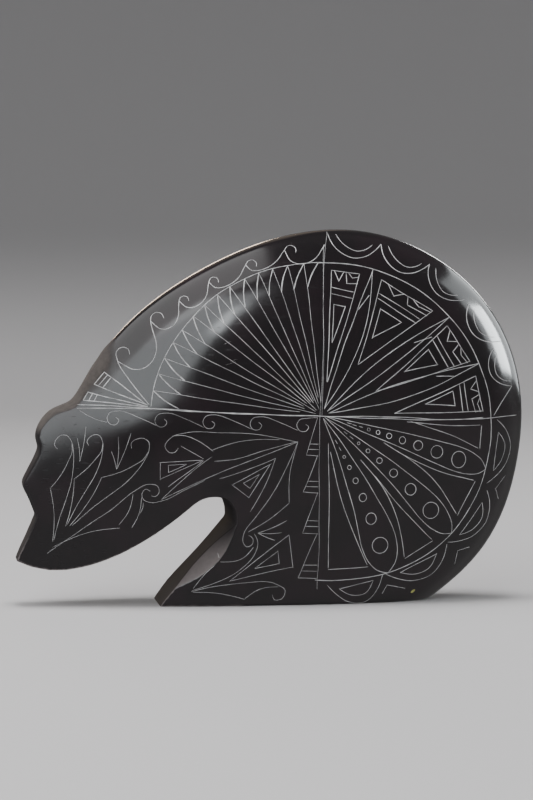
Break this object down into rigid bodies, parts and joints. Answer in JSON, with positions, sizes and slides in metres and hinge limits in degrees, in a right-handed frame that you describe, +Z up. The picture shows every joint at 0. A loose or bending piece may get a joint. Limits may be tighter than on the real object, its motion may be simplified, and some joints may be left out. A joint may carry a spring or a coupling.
{
  "type": "bear fetish carving",
  "caption": "Bear carved from one polished black stone slab, standing on a flat base, with engraved lines on both faces.",
  "frame": {"origin": "on the flat base, under the middle of the length and of the thickness", "axes": "+Z up, +X from the nose towards the rump, the more finely engraved face towards -Y"},
  "size_m": [0.1404, 0.03, 0.1022],
  "materials": {
    "stone": "polished black stone with fine engraved lines"
  },
  "bodies": {
    "root": {"bear": "stone"}
  },
  "joints": []
}
